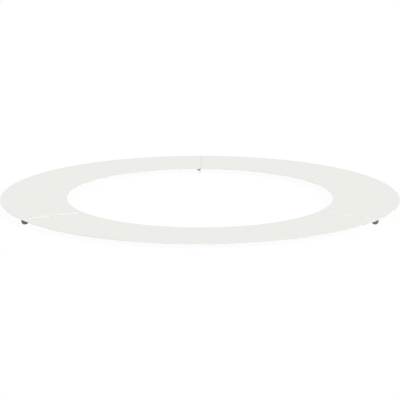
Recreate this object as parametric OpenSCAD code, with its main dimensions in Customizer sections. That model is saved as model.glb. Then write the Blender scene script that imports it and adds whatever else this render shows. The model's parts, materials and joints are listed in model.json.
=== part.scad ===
// Flat steel ring that lies round the foot of a tree.
// Three sheet sectors have their ends folded down, and bolts join the folds below the ring.
// The origin is the ring's centre on the ground, +Z points up and +Y to the rear joint.

/* [Ring] */
// Outer diameter of the ring
outer_d = 1800; // [1500:10:2700]
// Diameter of the opening for the tree
opening_d = 1200; // [700:10:1250]
// Thickness of the steel sheet
sheet_t = 1; // [0.8:0.1:2]

/* [Folded ends] */
// Inside radius of the fold at each end of a sector
fold_inner_r = 1; // [0.5:0.5:4]
// Height from the ground to the top of the ring, which stands on its tabs
ring_height = 24; // [22:0.5:36]
// Depth of the fold between its tabs, below the top of the ring
fold_depth = 17; // [13:0.5:19]
// Distance from each rim to the end of the fold
fold_setback = 0.5; // [0.5:0.5:4]
// Radius of the rounded tabs, one at each rim
tab_r = 19; // [15:0.5:24]
// Width of the flat that a tab stands on
foot_w = 10; // [4:0.5:16]
// Radius of the inside corner between a tab and the fold
corner_r = 6; // [2:0.5:10]

/* [Fasteners] */
// Thread diameter of the bolts
bolt_d = 5; // [4:0.5:6]
// Diameter of the bolt's domed head
head_d = 9.5; // [8:0.5:11]
// Height of the bolt head
head_h = 2.75; // [2.2:0.05:3.5]
// Width across the flats of the hexagon socket in the head
socket_flats = 3; // [2.5:0.5:4]
// Depth of the socket below the top of the dome
socket_depth = 1.7; // [1:0.1:2]
// Width across the flats of the nut
nut_flats = 8; // [7:0.5:9]
// Height of the nut
nut_h = 4.7; // [3:0.1:6]
// Outer diameter of the washer under the nut
washer_d = 10; // [9:0.5:11]
// Thickness of the washer
washer_t = 1; // [0.8:0.1:1.6]
// Length of thread that stands out of the nut
thread_out = 6.3; // [0.5:0.1:9]

/* [Clearances] */
// Gap all round the bolt in the holes of the folds
hole_clearance = 0.25; // [0.1:0.05:0.5]
// Gap all round the bolt in the washer
washer_clearance = 0.15; // [0.1:0.05:0.4]
// Gap all round the bolt in the nut, where the threads engage
thread_clearance = 0.05; // [0.03:0.01:0.1]
// Distance from a washer to the start of the fold's curve
washer_margin = 2; // [0.5:0.5:3]

/* [Hidden] */
$fn = 128;
sector_sweep = 120;
outer_r = outer_d / 2;
opening_r = opening_d / 2;
fold_outer_r = fold_inner_r + sheet_t;
fold_length = outer_r - opening_r - 2 * fold_setback;
// The tab's round centre lies below the ring's top by this, so that its foot is foot_w wide
tab_centre_depth = ring_height - sqrt(tab_r * tab_r - foot_w * foot_w / 4);
bolt_depth = fold_outer_r + washer_d / 2 + washer_margin;
shank_l = 2 * sheet_t + washer_t + nut_h + thread_out;
tip_chamfer = bolt_d / 10;
// The corners of the nut are turned off at this slope
hex_slope = tan(30);
// How far a cutting solid reaches past what it cuts
cut_over = 1;

RIMS = ["outer", "inner"];
// Each joint has a name and its angle about +Z from +X
JOINTS = [["rear", 90], ["front_left", 210], ["front_right", 330]];
// Each sector has a name and the angle of the joint where it starts
SECTORS = [["left_sector", 90], ["front_sector", 210], ["right_sector", 330]];
FASTENERS = ["bolt", "washer", "nut"];

// Turns a drawing in X and Y upright, so that its Y is up and its thickness runs along +Y
module stand_up(thickness) {
    translate([0, thickness, 0]) rotate([90, 0, 0]) linear_extrude(thickness) children();
}

// Moves a child to the place of a tab, where X is the distance from the ring's centre
module at_tab(rim) {
    from_rim = fold_setback + tab_r;
    translate([rim == "outer" ? outer_r - from_rim : opening_r + from_rim, 0, 0]) children();
}

// Outline of one rounded tab, with its inside corner on the side that toward_fold points to
module tab_outline(toward_fold) {
    corner_drop = max(0, fold_depth + corner_r - tab_centre_depth);
    corner_x = toward_fold * sqrt(pow(tab_r + corner_r, 2) - corner_drop * corner_drop);
    intersection() {
        union() {
            translate([0, -tab_centre_depth]) circle(tab_r);
            translate([-tab_r, -tab_centre_depth]) square([2 * tab_r, tab_centre_depth]);
        }
        translate([-tab_r, -ring_height]) square([2 * tab_r, ring_height - fold_outer_r]);
    }
    difference() {
        polygon([
            [0, -tab_centre_depth],
            [corner_x, -fold_depth - corner_r],
            [corner_x, -fold_depth],
            [0, -fold_outer_r]
        ]);
        translate([corner_x, -fold_depth - corner_r]) circle(corner_r);
    }
}

// The upright part of a fold, with its tabs and bolt holes
module fold_flange() {
    difference() {
        stand_up(sheet_t) union() {
            translate([opening_r + fold_setback, -fold_depth])
                square([fold_length, fold_depth - fold_outer_r]);
            at_tab("outer") tab_outline(-1);
            at_tab("inner") tab_outline(1);
        }
        for (rim = RIMS)
            at_tab(rim) translate([0, -cut_over, -bolt_depth]) rotate([-90, 0, 0])
                cylinder(r = bolt_d / 2 + hole_clearance, h = sheet_t + 2 * cut_over);
    }
}

// The curved part of a fold, between the flat ring and the upright part
module fold_curve() {
    translate([opening_r + fold_setback, fold_outer_r, -fold_outer_r])
        rotate([90, 0, 90]) linear_extrude(fold_length) intersection() {
            difference() {
                circle(fold_outer_r);
                circle(fold_inner_r);
            }
            translate([-fold_outer_r, 0]) square(fold_outer_r);
        }
}

// One end of a sector: the joint's face lies at Y = 0 and the ring's top at Z = 0
module folded_end() {
    fold_flange();
    fold_curve();
}

// Space that the fold takes up at one end of the flat sheet
module fold_strip() {
    translate([opening_r - cut_over, -cut_over, -sheet_t - cut_over])
        cube([outer_r - opening_r + 2 * cut_over, fold_outer_r + cut_over, sheet_t + 2 * cut_over]);
}

// One third of the ring, a single sheet with both ends folded down
module sector(start) {
    color([0.925, 0.929, 0.910]) translate([0, 0, ring_height]) rotate([0, 0, start]) {
        difference() {
            rotate_extrude(angle = sector_sweep, $fn = 360)
                translate([opening_r, -sheet_t]) square([outer_r - opening_r, sheet_t]);
            fold_strip();
            rotate([0, 0, sector_sweep]) mirror([0, 1, 0]) fold_strip();
        }
        folded_end();
        rotate([0, 0, sector_sweep]) mirror([0, 1, 0]) folded_end();
    }
}

// The fasteners lie along Z here, with the joint's face at Z = 0 and the nut above it

// Domed bolt head with a hexagon socket, from its seat at Z = 0 up
module bolt_head() {
    dome_r = (head_d * head_d / 4 + head_h * head_h) / 2 / head_h;
    difference() {
        intersection() {
            translate([0, 0, head_h - dome_r]) sphere(dome_r);
            cylinder(r = head_d, h = 2 * head_h);
        }
        translate([0, 0, head_h - socket_depth])
            linear_extrude(socket_depth + cut_over) circle(socket_flats / 2 / cos(30), $fn = 6);
    }
}

// Bolt, put in from the side of the lower sector angle
module bolt() {
    color([0.62, 0.63, 0.64]) translate([0, 0, -sheet_t]) {
        mirror([0, 0, 1]) bolt_head();
        cylinder(d = bolt_d, h = shank_l - tip_chamfer);
        translate([0, 0, shank_l - tip_chamfer])
            cylinder(d1 = bolt_d, d2 = bolt_d - 2 * tip_chamfer, h = tip_chamfer);
    }
}

// Plain washer between the fold and the nut
module washer() {
    color([0.66, 0.67, 0.68]) translate([0, 0, sheet_t]) difference() {
        cylinder(d = washer_d, h = washer_t);
        translate([0, 0, -cut_over])
            cylinder(r = bolt_d / 2 + washer_clearance, h = washer_t + 2 * cut_over);
    }
}

// Hexagon nut on its washer, with a flat at the top and at the bottom
module nut() {
    hex_r = nut_flats / 2 / cos(30);
    turned_off = (hex_r - nut_flats / 2) * hex_slope;
    color([0.64, 0.65, 0.66]) translate([0, 0, sheet_t + washer_t]) difference() {
        intersection() {
            linear_extrude(nut_h) circle(hex_r, $fn = 6);
            rotate_extrude() polygon([
                [0, 0],
                [nut_flats / 2, 0],
                [hex_r, turned_off],
                [hex_r, nut_h - turned_off],
                [nut_flats / 2, nut_h],
                [0, nut_h]
            ]);
        }
        translate([0, 0, -cut_over])
            cylinder(r = bolt_d / 2 + thread_clearance, h = nut_h + 2 * cut_over);
    }
}

// Moves a fastener to its place in one joint, at one rim
module in_joint(angle, rim) {
    rotate([0, 0, angle]) at_tab(rim) translate([0, 0, ring_height - bolt_depth])
        rotate([-90, 0, 0]) children();
}

for (s = SECTORS)
    sector(s[1]);

for (j = JOINTS)
    for (r = RIMS) {
        place = str(j[0], "_", r, "_");
        in_joint(j[1], r) bolt();
        in_joint(j[1], r) washer();
        in_joint(j[1], r) nut();
    }
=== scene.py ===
import json
import math

import bmesh
import bpy
from mathutils import Matrix, Vector


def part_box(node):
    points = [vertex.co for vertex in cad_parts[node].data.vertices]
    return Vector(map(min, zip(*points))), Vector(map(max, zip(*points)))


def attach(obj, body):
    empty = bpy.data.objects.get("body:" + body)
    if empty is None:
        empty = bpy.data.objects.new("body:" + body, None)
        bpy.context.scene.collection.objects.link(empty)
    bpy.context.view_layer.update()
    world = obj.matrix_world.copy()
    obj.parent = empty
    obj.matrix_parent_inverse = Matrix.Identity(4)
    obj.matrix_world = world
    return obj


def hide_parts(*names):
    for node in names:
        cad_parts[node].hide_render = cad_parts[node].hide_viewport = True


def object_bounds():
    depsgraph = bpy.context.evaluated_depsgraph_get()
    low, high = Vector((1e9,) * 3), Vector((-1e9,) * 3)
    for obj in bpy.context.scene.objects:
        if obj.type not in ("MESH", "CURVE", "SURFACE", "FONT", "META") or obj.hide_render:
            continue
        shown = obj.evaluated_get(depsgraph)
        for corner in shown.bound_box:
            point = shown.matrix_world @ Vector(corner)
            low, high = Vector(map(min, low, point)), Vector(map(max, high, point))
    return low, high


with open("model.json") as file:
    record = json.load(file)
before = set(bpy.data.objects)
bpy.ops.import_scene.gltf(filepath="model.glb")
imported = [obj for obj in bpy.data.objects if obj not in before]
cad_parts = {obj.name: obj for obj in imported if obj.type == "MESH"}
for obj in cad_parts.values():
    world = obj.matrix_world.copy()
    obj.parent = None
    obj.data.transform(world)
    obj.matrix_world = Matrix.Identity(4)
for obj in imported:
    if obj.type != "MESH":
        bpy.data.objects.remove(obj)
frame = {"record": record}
cad_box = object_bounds()

# Camera. The ring is seen from the front, 12.7 degrees above the ground, from about 12 m away
# through a long lens, so that it fills the width of the picture.

ring_top = cad_box[1].z
ring_radius = round((cad_box[1].x - cad_box[0].x) / 2, 3)
view_elevation = math.radians(12.729)
view_distance = 13.828 * ring_radius
lens_mm = 248.0
sensor_mm = 36.0
picture_px = 400
ring_centre_above_middle_px = 3.23

camera_data = bpy.data.cameras.new("camera")
camera_data.lens = lens_mm
camera_data.sensor_width = sensor_mm
camera_data.clip_end = 100
camera = bpy.data.objects.new("camera", camera_data)
bpy.context.scene.collection.objects.link(camera)
bpy.context.scene.camera = camera
camera_back = Vector((0, -math.cos(view_elevation), math.sin(view_elevation)))
camera_up = Vector((0, math.sin(view_elevation), math.cos(view_elevation)))
camera.location = Vector((0, 0, ring_top)) + camera_back * view_distance
metres_per_px = view_distance / (lens_mm / sensor_mm * picture_px)
aim = Vector((0, 0, ring_top)) - camera_up * ring_centre_above_middle_px * metres_per_px
camera.rotation_mode = "QUATERNION"
camera.rotation_quaternion = (aim - camera.location).to_track_quat("-Z", "Y")

# Light. Two soft lamps stand low at the front, the stronger one to the right, in an even pale
# room. Together they make a white sheet that lies flat as bright as its own colour.


def add_lamp(name, degrees_right, degrees_up, level, soft_degrees):
    """Adds a far lamp. At level 1 it lights a surface that faces it at the surface's own colour."""
    lamp_data = bpy.data.lights.new(name, "SUN")
    lamp_data.energy = level * math.pi
    lamp_data.angle = math.radians(soft_degrees)
    lamp = bpy.data.objects.new(name, lamp_data)
    bpy.context.scene.collection.objects.link(lamp)
    across, up = math.radians(degrees_right), math.radians(degrees_up)
    towards = Vector((math.sin(across) * math.cos(up), -math.cos(across) * math.cos(up), math.sin(up)))
    lamp.rotation_mode = "QUATERNION"
    lamp.rotation_quaternion = towards.to_track_quat("Z", "Y")


add_lamp("right_lamp", degrees_right=60, degrees_up=25, level=1.225, soft_degrees=10)
add_lamp("left_lamp", degrees_right=-62, degrees_up=25, level=0.465, soft_degrees=10)


def add_node(tree, kind, settings=None, inputs=None, links=None):
    """Adds a node, sets its properties and sockets, and links sockets to (node, output) pairs."""
    node = tree.nodes.new(kind)
    for key, value in (settings or {}).items():
        setattr(node, key, value)
    for key, value in (inputs or {}).items():
        node.inputs[key].default_value = value
    for key, (source, output) in (links or {}).items():
        tree.links.new(source.outputs[output], node.inputs[key])
    return node


room_level = 0.36
world = bpy.data.worlds.new("pale_room")
bpy.context.scene.world = world
world.use_nodes = True
world.node_tree.nodes.clear()
rays = add_node(world.node_tree, "ShaderNodeLightPath")
seen = add_node(
    world.node_tree, "ShaderNodeMath", {"operation": "MAXIMUM"},
    links={0: (rays, "Is Camera Ray"), 1: (rays, "Is Glossy Ray")},
)
seen = add_node(
    world.node_tree, "ShaderNodeMath", {"operation": "MAXIMUM"},
    links={0: (seen, 0), 1: (rays, "Is Transmission Ray")},
)
level = add_node(
    world.node_tree, "ShaderNodeMapRange", inputs={"To Min": room_level, "To Max": 1.0},
    links={"Value": (seen, 0)},
)
room = add_node(world.node_tree, "ShaderNodeBackground", links={"Strength": (level, 0)})
add_node(world.node_tree, "ShaderNodeOutputWorld", links={"Surface": (room, 0)})

# Floor. A plain white studio floor. Part of it glows to the camera and to mirrors, so that it is
# white without more light on the ring, and the rest is matt and keeps the ring's shadow.


def linear(hex_colour):
    """An sRGB hex colour as linear red, green, blue and 1."""
    parts = [int(hex_colour[i:i + 2], 16) / 255 for i in (1, 3, 5)]
    return (*[c / 12.92 if c <= 0.04045 else ((c + 0.055) / 1.055) ** 2.4 for c in parts], 1)


floor_half = 40.0
shadow_share = 0.035
floor_bounce = linear("#8C8C8A")

floor_mesh = bpy.data.meshes.new("floor")
floor = bpy.data.objects.new("floor", floor_mesh)
bpy.context.scene.collection.objects.link(floor)
bm = bmesh.new()
bmesh.ops.create_grid(bm, x_segments=1, y_segments=1, size=floor_half)
bm.to_mesh(floor_mesh)
bm.free()

floor_material = bpy.data.materials.new("studio_floor")
floor_material.use_nodes = True
tree = floor_material.node_tree
tree.nodes.clear()
rays = add_node(tree, "ShaderNodeLightPath")
seen = add_node(
    tree, "ShaderNodeMath", {"operation": "MAXIMUM"},
    links={0: (rays, "Is Camera Ray"), 1: (rays, "Is Glossy Ray")},
)
seen = add_node(
    tree, "ShaderNodeMath", {"operation": "MAXIMUM"},
    links={0: (seen, 0), 1: (rays, "Is Transmission Ray")},
)
bounce = add_node(tree, "ShaderNodeBsdfDiffuse", inputs={"Color": floor_bounce})
glow = add_node(tree, "ShaderNodeEmission", inputs={"Strength": 1.0 - shadow_share})
matt = add_node(
    tree, "ShaderNodeBsdfDiffuse", inputs={"Color": (shadow_share, shadow_share, shadow_share, 1)},
)
white = add_node(tree, "ShaderNodeAddShader", links={0: (glow, 0), 1: (matt, 0)})
above = add_node(tree, "ShaderNodeMixShader", links={0: (seen, 0), 1: (bounce, 0), 2: (white, 0)})
side = add_node(tree, "ShaderNodeNewGeometry")
clear = add_node(tree, "ShaderNodeBsdfTransparent")
one_way = add_node(
    tree, "ShaderNodeMixShader",
    links={0: (side, "Backfacing"), 1: (above, 0), 2: (clear, 0)},
)
add_node(tree, "ShaderNodeOutputMaterial", links={"Surface": (one_way, 0)})
floor_mesh.materials.append(floor_material)

# Sectors. Each third of the ring is one laser-cut sheet of 1 mm mild steel whose two ends are
# folded down, with a rounded tab at each rim and a bolt hole in each tab. The cut edges are
# broken before the powder coat goes on.

opening = next(m for m in frame["record"]["mounts"] if m["name"] == "tree_opening")
opening_radius = opening["dims"]["r_mm"] / 1000
sheet = opening["dims"]["length_mm"] / 1000
fold_inner_radius = 0.001
fold_radius = fold_inner_radius + sheet
fold_depth = 0.017
fold_setback = 0.0005
tab_radius = 0.019
foot_width = 0.010
corner_radius = 0.006
hole_radius = 0.00275
edge_break = 0.0002
sharp_edge = math.radians(50)
near = 0.00001
merge_reach = 0.00002
cut_tolerance = 0.000001
degree_steps = 60
bend_steps = 10
tab_steps = 20
corner_steps = 8
hole_steps = 40
bolt_z = (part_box("rear_outer_nut")[0].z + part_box("rear_outer_nut")[1].z) / 2
sector_sweep = math.radians(120)
tab_centre_depth = ring_top - math.sqrt(tab_radius ** 2 - (foot_width / 2) ** 2)
tab_x = ring_radius - fold_setback - tab_radius
middle_x = (ring_radius + opening_radius) / 2
sector_starts = {"left_sector": 90, "front_sector": 210, "right_sector": 330}


def ends_of(edges):
    """The vertices of some edges, each once and always in the same order."""
    return list(dict.fromkeys(v for e in edges for v in e.verts))


def arc_on(bm, vert, centre, degrees, steps):
    """Draws an arc in the fold's plane on from a vertex, and returns its last vertex."""
    made = bmesh.ops.spin(
        bm, geom=[vert], cent=centre, axis=(0, 1, 0), angle=math.radians(degrees), steps=steps,
    )
    return next(g for g in made["geom_last"] if isinstance(g, bmesh.types.BMVert))


def line_on(bm, vert, step):
    """Draws a line on from a vertex, and returns its last vertex."""
    made = bmesh.ops.extrude_vert_indiv(bm, verts=[vert])
    bmesh.ops.translate(bm, verts=made["verts"], vec=step)
    return made["verts"][0]


def fold_outline(bm, corner):
    """Draws the fold's lower edge from its outer corner to the middle of its length."""
    height = ring_top - tab_centre_depth
    centre = Vector((tab_x, 0, height))
    foot_angle = math.degrees(math.asin(foot_width / 2 / tab_radius))
    corner_drop = fold_depth + corner_radius - tab_centre_depth
    meet_angle = math.degrees(math.asin(corner_drop / (tab_radius + corner_radius)))
    corner_x = math.sqrt((tab_radius + corner_radius) ** 2 - corner_drop ** 2)
    corner_centre = centre - Vector((corner_x, 0, corner_drop))
    vert = line_on(bm, corner, (0, 0, height - corner.co.z))
    vert = arc_on(bm, vert, centre, 90 - foot_angle, tab_steps)
    vert = line_on(bm, vert, (-foot_width, 0, 0))
    vert = arc_on(bm, vert, centre, 90 - foot_angle - meet_angle, corner_steps)
    vert = arc_on(bm, vert, corner_centre, meet_angle - 90, corner_steps)
    return line_on(bm, vert, (middle_x - vert.co.x, 0, 0))


def merge_points(bm):
    """Rounds a sheet's points to a thousandth of a mm and merges those that fall together."""
    for vert in bm.verts:
        vert.co = [round(c, 6) for c in vert.co]
    bmesh.ops.remove_doubles(bm, verts=bm.verts, dist=merge_reach)


def half_sector():
    """The outer skin of half a sector, from its joint at +X to its middle, 60 degrees on.

    The upright fold is two faces, which meet on a line through the middles of the bolt holes."""
    bm = bmesh.new()
    stops = [
        opening_radius, opening_radius + fold_setback, middle_x,
        ring_radius - fold_setback, ring_radius,
    ]
    row = [bm.verts.new((x, 0, ring_top)) for x in stops]
    edges = [bm.edges.new(pair) for pair in zip(row, row[1:])]
    bmesh.ops.spin(
        bm, geom=row + edges, cent=(0, 0, 0), axis=(0, 0, 1), angle=sector_sweep / 2,
        steps=degree_steps,
    )
    bmesh.ops.bisect_plane(
        bm, geom=bm.verts[:] + bm.edges[:] + bm.faces[:], dist=cut_tolerance,
        plane_co=(0, fold_radius, 0), plane_no=(0, -1, 0), clear_outer=True,
    )
    ends = [
        e for e in bm.edges
        if all(abs(v.co.y - fold_radius) < near for v in e.verts)
        and all(opening_radius + near < v.co.x < ring_radius - near for v in e.verts)
        and min(v.co.x for v in e.verts) > opening_radius + fold_setback / 2
        and max(v.co.x for v in e.verts) < ring_radius - fold_setback / 2
    ]
    made = bmesh.ops.spin(
        bm, geom=ends_of(ends) + ends,
        cent=(0, fold_radius, ring_top - fold_radius), axis=(1, 0, 0),
        angle=math.radians(90), steps=bend_steps,
    )
    top_edge = [g for g in made["geom_last"] if isinstance(g, bmesh.types.BMEdge)]
    top_verts = sorted(ends_of(top_edge), key=lambda v: v.co.x)
    known = set(bm.edges)
    mirror_x = Matrix.Translation((2 * middle_x, 0, 0)) @ Matrix.Scale(-1, 4, (1, 0, 0))
    fold_outline(bm, top_verts[-1])
    drawn = [e for e in bm.edges if e not in known]
    copied = bmesh.ops.duplicate(bm, geom=ends_of(drawn) + drawn)
    bmesh.ops.transform(
        bm, matrix=mirror_x, verts=[g for g in copied["geom"] if isinstance(g, bmesh.types.BMVert)],
    )
    for x in (tab_x, 2 * middle_x - tab_x):
        bmesh.ops.create_circle(
            bm, segments=hole_steps, radius=hole_radius,
            matrix=Matrix.Translation((x, 0, bolt_z)) @ Matrix.Rotation(math.radians(90), 4, "X"),
        )
    merge_points(bm)
    upright = [e for e in bm.edges if all(abs(v.co.y) < near for v in e.verts)]
    split = bmesh.ops.bisect_plane(
        bm, geom=ends_of(upright) + upright, dist=near, plane_co=(0, 0, bolt_z), plane_no=(0, 0, 1),
    )
    crossings = [g for g in split["geom_cut"] if isinstance(g, bmesh.types.BMVert)]
    crossings.sort(key=lambda v: v.co.x)
    for pair in zip(crossings[::2], crossings[1::2]):
        bm.edges.new(pair)
    for side in (1, -1):
        loop = [
            e for e in bm.edges
            if all(abs(v.co.y) < near and side * (v.co.z - bolt_z) > -near for v in e.verts)
        ]
        bmesh.ops.contextual_create(bm, geom=loop)
    return bm


def put_in_order(bm):
    """Sorts the vertices, edges and faces by place, so that every run lists them alike."""
    by_place = sorted(bm.verts, key=lambda v: [round(c, 5) for c in v.co])
    rank = {v: i for i, v in enumerate(by_place)}
    bm.verts.sort(key=lambda v: rank[v])
    bm.verts.index_update()
    for parts in (bm.edges, bm.faces):
        by_verts = sorted(parts, key=lambda p: sorted(v.index for v in p.verts))
        rank = {p: i for i, p in enumerate(by_verts)}
        parts.sort(key=lambda p: rank[p])
        parts.index_update()


def add_piece(name, bm, *nodes):
    """Turns a bmesh into a piece that rides on the ring's body and stands for its CAD nodes."""
    put_in_order(bm)
    mesh = bpy.data.meshes.new(name)
    bm.to_mesh(mesh)
    bm.free()
    mesh.shade_smooth()
    piece = bpy.data.objects.new(name, mesh)
    bpy.context.scene.collection.objects.link(piece)
    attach(piece, "root")
    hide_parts(*nodes)
    return piece


# Polyester powder coat, baked on: an off-white film about 0.08 mm thick. It gives a dull, even
# sheen that hardly mirrors the lamps. Its orange peel is about 2 mm across, and its tone and
# sheen drift a little over 70 mm, where it lies thicker.

coat_thin = linear("#EBECE7")
coat_thick = linear("#EDEEE9")
peel_size = 0.0022
drift_size = 0.07
powder_coat = bpy.data.materials.new("off_white_powder_coat")
powder_coat.use_nodes = True
tree = powder_coat.node_tree
tree.nodes.clear()
place = add_node(tree, "ShaderNodeTexCoord")
peel = add_node(
    tree, "ShaderNodeTexNoise", inputs={"Scale": 1 / peel_size, "Detail": 2.0, "Roughness": 0.4},
    links={"Vector": (place, "Object")},
)
bump = add_node(
    tree, "ShaderNodeBump", inputs={"Strength": 0.08, "Distance": 0.0001},
    links={"Height": (peel, "Fac")},
)
cloud = add_node(
    tree, "ShaderNodeTexNoise", inputs={"Scale": 1 / drift_size, "Detail": 3.0},
    links={"Vector": (place, "Object")},
)
tone = add_node(
    tree, "ShaderNodeMix", {"data_type": "RGBA"}, inputs={6: coat_thin, 7: coat_thick},
    links={0: (cloud, "Fac")},
)
sheen = add_node(
    tree, "ShaderNodeMapRange", inputs={"To Min": 0.86, "To Max": 0.96},
    links={"Value": (cloud, "Fac")},
)
film = add_node(
    tree, "ShaderNodeBsdfPrincipled", inputs={"IOR": 1.5, "Specular IOR Level": 0.15},
    links={"Base Color": (tone, 2), "Roughness": (sheen, 0), "Normal": (bump, 0)},
)
add_node(tree, "ShaderNodeOutputMaterial", links={"Surface": (film, 0)})

for name, start in sector_starts.items():
    bm = half_sector()
    copied = bmesh.ops.duplicate(bm, geom=bm.verts[:] + bm.edges[:] + bm.faces[:])
    across = Matrix.Rotation(sector_sweep, 4, "Z") @ Matrix.Scale(-1, 4, (0, 1, 0))
    bmesh.ops.transform(
        bm, matrix=across, verts=[g for g in copied["geom"] if isinstance(g, bmesh.types.BMVert)],
    )
    merge_points(bm)
    bmesh.ops.recalc_face_normals(bm, faces=bm.faces)
    if sum(f.normal.z * f.calc_area() for f in bm.faces) < 0:
        bmesh.ops.reverse_faces(bm, faces=bm.faces)
    bmesh.ops.rotate(bm, verts=bm.verts, matrix=Matrix.Rotation(math.radians(start), 3, "Z"))
    sector = add_piece(name + "_sheet", bm, name)
    wall = sector.modifiers.new("wall", "SOLIDIFY")
    wall.thickness = sheet
    wall.offset = -1
    wall.use_even_offset = True
    # Blender's overlap clamp narrows these edges to 0.016 mm, on the left sector to nothing.
    edges = sector.modifiers.new("broken_edges", "BEVEL")
    edges.width = edge_break
    edges.segments = 2
    edges.limit_method = "ANGLE"
    edges.angle_limit = sharp_edge
    edges.harden_normals = True
    sector.data.materials.append(powder_coat)

# Bolts. Six M5 x 14 steel bolts with low domed heads and hexagon sockets, cold headed, thread
# rolled and zinc plated. Each goes through two folded tabs from the side of the lower angle.

head_radius = 0.00475
head_height = 0.00275
head_seat = -sheet
socket_flats = 0.003
socket_depth = 0.0017
socket_point = 0.0004
thread_radius = 0.0025
root_radius = 0.00201
pitch = 0.0008
ridge_sunk = 0.00006
ridge_foot_half = 0.44 * pitch
ridge_crest_half = pitch / 16
thread_start = -0.0008
bolt_tip = 0.013
tip_chamfer = 0.0005
tip_face_depth = 0.0001
thread_margin = 0.000001
mouth_radius = 0.62 * socket_flats
dome_steps = 14
bolt_steps = 96
fastener_merge_reach = 0.0000001
fastener_cut_tolerance = 0.00000001
rounded_from = math.radians(25)
joint_angles = {"rear": 90, "front_left": 210, "front_right": 330}
tab_radii = {"outer": tab_x, "inner": 2 * middle_x - tab_x}


def turn(bm, outline, steps, closed=False):
    """Draws an outline of (radius, height) points and turns it round Z into a skin."""
    verts = [bm.verts.new((r, 0, z)) for r, z in outline]
    edges = [bm.edges.new(pair) for pair in zip(verts, verts[1:] + verts[:closed])]
    bmesh.ops.spin(
        bm, geom=verts + edges, cent=(0, 0, 0), axis=(0, 0, 1), angle=math.radians(360),
        steps=steps, use_merge=True,
    )
    bmesh.ops.remove_doubles(bm, verts=bm.verts, dist=fastener_merge_reach)


def cut_off(bm, middle, out):
    """Cuts away what lies beyond a plane, and closes the cut."""
    cut = bmesh.ops.bisect_plane(
        bm, geom=bm.verts[:] + bm.edges[:] + bm.faces[:], dist=fastener_cut_tolerance,
        plane_co=middle, plane_no=out, clear_outer=True,
    )
    rim = [g for g in cut["geom_cut"] if isinstance(g, bmesh.types.BMEdge)]
    bmesh.ops.holes_fill(bm, edges=rim)


def add_thread(bm):
    """Adds the rolled thread, a ridge that winds up the shank and runs out at the tip."""
    steps_in_turn = 32
    turns = math.ceil((bolt_tip - thread_start) / pitch) + 2
    foot = root_radius - ridge_sunk
    outline = [
        (foot, -ridge_foot_half), (thread_radius, -ridge_crest_half),
        (thread_radius, ridge_crest_half), (foot, ridge_foot_half),
    ]
    ridge = bm.faces.new([bm.verts.new((r, 0, thread_start - pitch + z)) for r, z in outline])
    bmesh.ops.spin(
        bm, geom=[ridge], cent=(0, 0, 0), axis=(0, 0, 1), dvec=(0, 0, pitch / steps_in_turn),
        angle=math.radians(360 * turns), steps=turns * steps_in_turn,
    )
    cut_off(bm, (0, 0, thread_start), (0, 0, -1))
    cut_off(bm, (0, 0, bolt_tip - tip_face_depth), (0, 0, 1))
    for vert in bm.verts:
        reach = thread_radius - max(0, vert.co.z - bolt_tip + tip_chamfer)
        vert.co.xy *= min(1, reach / math.hypot(vert.co.x, vert.co.y))


def bolt_skin():
    """A bolt along Z, with the joint's face at 0 and its head below."""
    bm = bmesh.new()
    add_thread(bm)
    dome_radius = (head_radius ** 2 + head_height ** 2) / 2 / head_height
    dome_middle = head_seat - head_height + dome_radius
    dome_width = head_radius - mouth_radius
    radii = [mouth_radius + dome_width * i / dome_steps for i in range(dome_steps + 1)]
    outline = [(r, dome_middle - math.sqrt(dome_radius ** 2 - r ** 2)) for r in radii]
    outline += [(thread_radius, head_seat), (thread_radius, thread_start)]
    outline += [(root_radius, thread_start + tip_chamfer), (root_radius, bolt_tip), (0, bolt_tip)]
    turn(bm, outline, bolt_steps)
    rim = [e for e in bm.edges if e.is_boundary]
    for stage in ("mouth", "wall", "point"):
        made = bmesh.ops.extrude_edge_only(bm, edges=rim)
        rim = [g for g in made["geom"] if isinstance(g, bmesh.types.BMEdge)]
        for vert in ends_of(rim):
            if stage == "mouth":
                beside_flat = math.degrees(math.atan2(vert.co.y, vert.co.x)) % 60 - 30
                radius = socket_flats / 2 / math.cos(math.radians(beside_flat))
                vert.co.xy *= radius / math.hypot(vert.co.x, vert.co.y)
                vert.co.z = dome_middle - math.sqrt(dome_radius ** 2 - radius ** 2)
            elif stage == "wall":
                vert.co.z = head_seat - head_height + socket_depth
            else:
                vert.co = (0, 0, head_seat - head_height + socket_depth + socket_point)
    bmesh.ops.remove_doubles(bm, verts=bm.verts, dist=fastener_merge_reach)
    return bm


def add_fastener(name, bm, joint, rim, round_edges, thread=(math.inf, math.inf)):
    """Moves a fastener from the origin, where it lies along Z, to its tabs and rounds its edges.

    The edges between the two heights of the thread stay as they are."""
    rounding = bm.edges.layers.float.new("bevel_weight_edge")
    for edge in bm.edges:
        heights = [v.co.z for v in edge.verts]
        if max(heights) < thread[0] or min(heights) > thread[1]:
            edge[rounding] = edge.calc_face_angle(0) > rounded_from
    lying = Matrix.Rotation(math.radians(-90), 4, "X")
    in_tabs = Matrix.Translation((tab_radii[rim], 0, bolt_z)) @ lying
    in_joint = Matrix.Rotation(math.radians(joint_angles[joint]), 4, "Z") @ in_tabs
    bmesh.ops.transform(bm, matrix=in_joint, verts=bm.verts)
    bmesh.ops.recalc_face_normals(bm, faces=bm.faces)
    node = f"{joint}_{rim}_{name}"
    fastener = add_piece(node + "_zinc", bm, node)
    edges = fastener.modifiers.new("rounded_edges", "BEVEL")
    edges.width = round_edges
    edges.segments = 2
    edges.limit_method = "WEIGHT"
    edges.harden_normals = True
    return fastener


# Bright zinc plate, passivated clear: a cool grey metal with soft clouds in its tone and sheen,
# and the faint grain that cold heading and barrel plating leave.

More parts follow.
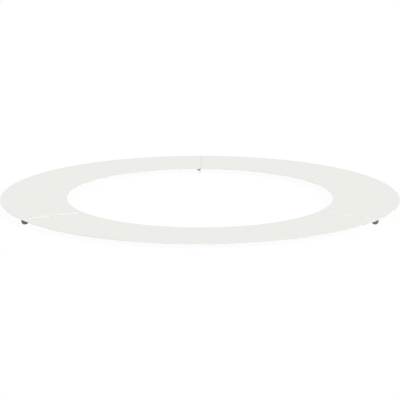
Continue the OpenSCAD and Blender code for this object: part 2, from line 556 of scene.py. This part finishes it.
zinc_cloud_size = 0.003
zinc_grain_size = 0.0004
bright_zinc = bpy.data.materials.new("bright_zinc_plate")
bright_zinc.use_nodes = True
tree = bright_zinc.node_tree
tree.nodes.clear()
place = add_node(tree, "ShaderNodeTexCoord")
cloud = add_node(
    tree, "ShaderNodeTexNoise", inputs={"Scale": 1 / zinc_cloud_size, "Detail": 3.0},
    links={"Vector": (place, "Object")},
)
grain = add_node(
    tree, "ShaderNodeTexNoise", inputs={"Scale": 1 / zinc_grain_size, "Detail": 2.0},
    links={"Vector": (place, "Object")},
)
tone = add_node(
    tree, "ShaderNodeMix", {"data_type": "RGBA"},
    inputs={6: linear("#9DA2A6"), 7: linear("#B9BBBA")}, links={0: (cloud, "Fac")},
)
sheen = add_node(
    tree, "ShaderNodeMapRange", inputs={"To Min": 0.28, "To Max": 0.46},
    links={"Value": (cloud, "Fac")},
)
bump = add_node(
    tree, "ShaderNodeBump", inputs={"Strength": 0.15, "Distance": 0.00003},
    links={"Height": (grain, "Fac")},
)
plate = add_node(
    tree, "ShaderNodeBsdfPrincipled", inputs={"Metallic": 1.0},
    links={"Base Color": (tone, 2), "Roughness": (sheen, 0), "Normal": (bump, 0)},
)
add_node(tree, "ShaderNodeOutputMaterial", links={"Surface": (plate, 0)})

for joint in joint_angles:
    for rim in tab_radii:
        bolt = add_fastener(
            "bolt", bolt_skin(), joint, rim, round_edges=0.00008,
            thread=(head_seat + thread_margin, bolt_tip - thread_margin),
        )
        bolt.data.materials.append(bright_zinc)

# Nuts. Six M5 hexagon nuts, 8 mm across the flats and 4.7 mm high, cold formed and zinc plated.
# Both faces are turned off at 30 degrees and the bore is countersunk at both ends.

nut_flats = 0.008
nut_corner_radius = 0.00445
nut_face_radius = 0.0038
nut_bore_radius = 0.00255
nut_face_slope = math.radians(30)
nut_steps = 72
countersink = 0.00025
nut_seat = sheet + 0.001
nut_end = nut_seat + 0.0047

for joint in joint_angles:
    for rim in tab_radii:
        bm = bmesh.new()
        turned_off = (nut_corner_radius - nut_face_radius) * math.tan(nut_face_slope)
        turn(bm, [
            (nut_bore_radius, nut_seat + countersink), (nut_bore_radius, nut_end - countersink),
            (nut_bore_radius + countersink, nut_end), (nut_face_radius, nut_end),
            (nut_corner_radius, nut_end - turned_off), (nut_corner_radius, nut_seat + turned_off),
            (nut_face_radius, nut_seat), (nut_bore_radius + countersink, nut_seat),
        ], nut_steps, closed=True)
        for i in range(6):
            out = Matrix.Rotation(math.radians(30 + 60 * i), 3, "Z") @ Vector((1, 0, 0))
            cut_off(bm, out * nut_flats / 2, out)
        nut = add_fastener("nut", bm, joint, rim, round_edges=0.00006)
        nut.data.materials.append(bright_zinc)

# Washers. Six M5 plain washers, 10 mm wide and 1 mm thick, punched from strip, so that one edge
# is rounded and the other is sharp, then tumbled and zinc plated.

washer_radius = 0.005
washer_hole_radius = 0.00265
washer_seat = sheet
washer_top = washer_seat + 0.001
rolled_edge = 0.0003
rolled_steps = 5
washer_steps = 72

# Tumbled zinc plate: duller and a little lighter than the bolts, with the small dents that the
# washers give each other in the barrel, about 0.5 mm across.

dent_size = 0.0005
tumbled_cloud_size = 0.002
tumbled_zinc = bpy.data.materials.new("tumbled_zinc_plate")
tumbled_zinc.use_nodes = True
tree = tumbled_zinc.node_tree
tree.nodes.clear()
place = add_node(tree, "ShaderNodeTexCoord")
dents = add_node(
    tree, "ShaderNodeTexVoronoi", inputs={"Scale": 1 / dent_size},
    links={"Vector": (place, "Object")},
)
cloud = add_node(
    tree, "ShaderNodeTexNoise", inputs={"Scale": 1 / tumbled_cloud_size, "Detail": 2.0},
    links={"Vector": (place, "Object")},
)
tone = add_node(
    tree, "ShaderNodeMix", {"data_type": "RGBA"},
    inputs={6: linear("#AAAEB0"), 7: linear("#C2C2BF")}, links={0: (cloud, "Fac")},
)
bump = add_node(
    tree, "ShaderNodeBump", inputs={"Strength": 0.2, "Distance": 0.00003},
    links={"Height": (dents, "Distance")},
)
plate = add_node(
    tree, "ShaderNodeBsdfPrincipled", inputs={"Metallic": 1.0, "Roughness": 0.5},
    links={"Base Color": (tone, 2), "Normal": (bump, 0)},
)
add_node(tree, "ShaderNodeOutputMaterial", links={"Surface": (plate, 0)})

for joint in joint_angles:
    for rim in tab_radii:
        bm = bmesh.new()
        rolled = [math.radians(90 * i / rolled_steps) for i in range(rolled_steps + 1)]
        turn(bm, [
            (washer_hole_radius, washer_seat), (washer_radius, washer_seat),
            *[
                (
                    washer_radius - rolled_edge * (1 - math.cos(a)),
                    washer_top - rolled_edge * (1 - math.sin(a)),
                ) for a in rolled
            ],
            (washer_hole_radius, washer_top),
        ], washer_steps, closed=True)
        washer = add_fastener("washer", bm, joint, rim, round_edges=0.00005)
        washer.data.materials.append(tumbled_zinc)

bpy.context.scene.view_settings.view_transform = "Standard"
